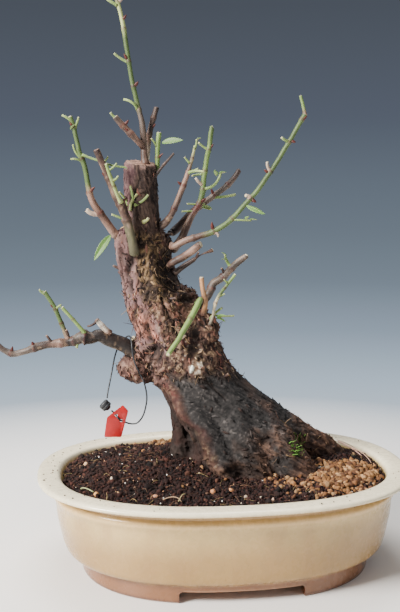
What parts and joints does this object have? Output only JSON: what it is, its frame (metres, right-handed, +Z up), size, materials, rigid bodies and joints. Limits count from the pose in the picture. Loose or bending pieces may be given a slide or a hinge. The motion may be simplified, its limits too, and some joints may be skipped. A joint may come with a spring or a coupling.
{
  "type": "bonsai tree in a pot",
  "caption": "Leaning bonsai trunk, cut back, with bare shoots and a few small leaves, in an oval glazed pot with soil and a hanging blank tag.",
  "frame": {"origin": "middle of the bottom of the whole plant and pot, on the surface that the pot stands on", "axes": "+Z up the tree, +X along the pot's long axis to the tree's right, +Y to the back, along the pot's short axis"},
  "size_m": [0.2892, 0.2018, 0.3942],
  "materials": {
    "glaze": "glossy cream glaze, warmer and thinner in the grooves, with dark specks and a bare reddish edge at the foot",
    "soil": "rough, damp, dark reddish-brown crumbs with pale grit and fine roots",
    "clay_granules": "matt tan and orange baked clay granules",
    "bark": "rough bark, from pinkish brown to charcoal grey, ridged lengthwise, with paler scars and dark fissures",
    "twig_bark": "matt reddish-brown young bark with pale sawn ends",
    "green_bark": "smooth, slightly waxy green skin of one-year shoots",
    "leaf": "thin green leaf with a paler midrib, soft sheen",
    "black_plastic": "matt black",
    "red_plastic": "thin glossy red plastic, blank, a little scuffed",
    "aluminium_wire": "dull soft aluminium wire"
  },
  "bodies": {
    "root": {"clay_granules_back": "clay_granules", "clay_granules_right": "clay_granules", "crown_branch": "twig_bark", "crown_branch_twig": "twig_bark", "crown_fork": "twig_bark", "crown_shoot": "green_bark", "drainage_mesh_left": "black_plastic", "drainage_mesh_right": "black_plastic", "leader_shoot": "green_bark", "leaf_right": "leaf", "leaf_shoulder": "leaf", "leaf_top": "leaf", "limb_left": "twig_bark", "limb_left_shoot": "green_bark", "limb_left_stub": "twig_bark", "limb_left_twig": "green_bark", "mesh_wire_left": "aluminium_wire", "mesh_wire_right": "aluminium_wire", "pot": "glaze", "pot_floor": "glaze", "pot_foot_left": "glaze", "pot_foot_right": "glaze", "right_branch_low": "twig_bark", "right_stub_lower": "twig_bark", "right_stub_orange": "twig_bark", "right_stub_upper": "twig_bark", "right_twig_low": "green_bark", "shoot_front": "green_bark", "shoot_left": "green_bark", "shoot_left_twig": "green_bark", "shoot_right": "green_bark", "shoot_right_tip": "green_bark", "shoulder_stub_left": "twig_bark", "shoulder_twig_left": "green_bark", "soil": "soil", "tag": "red_plastic", "tag_bead": "black_plastic", "tag_string": "black_plastic", "top_shoot_short": "green_bark", "top_stub_left": "twig_bark", "top_stub_right": "twig_bark", "top_twig": "twig_bark", "trunk": "bark"}
  },
  "joints": []
}
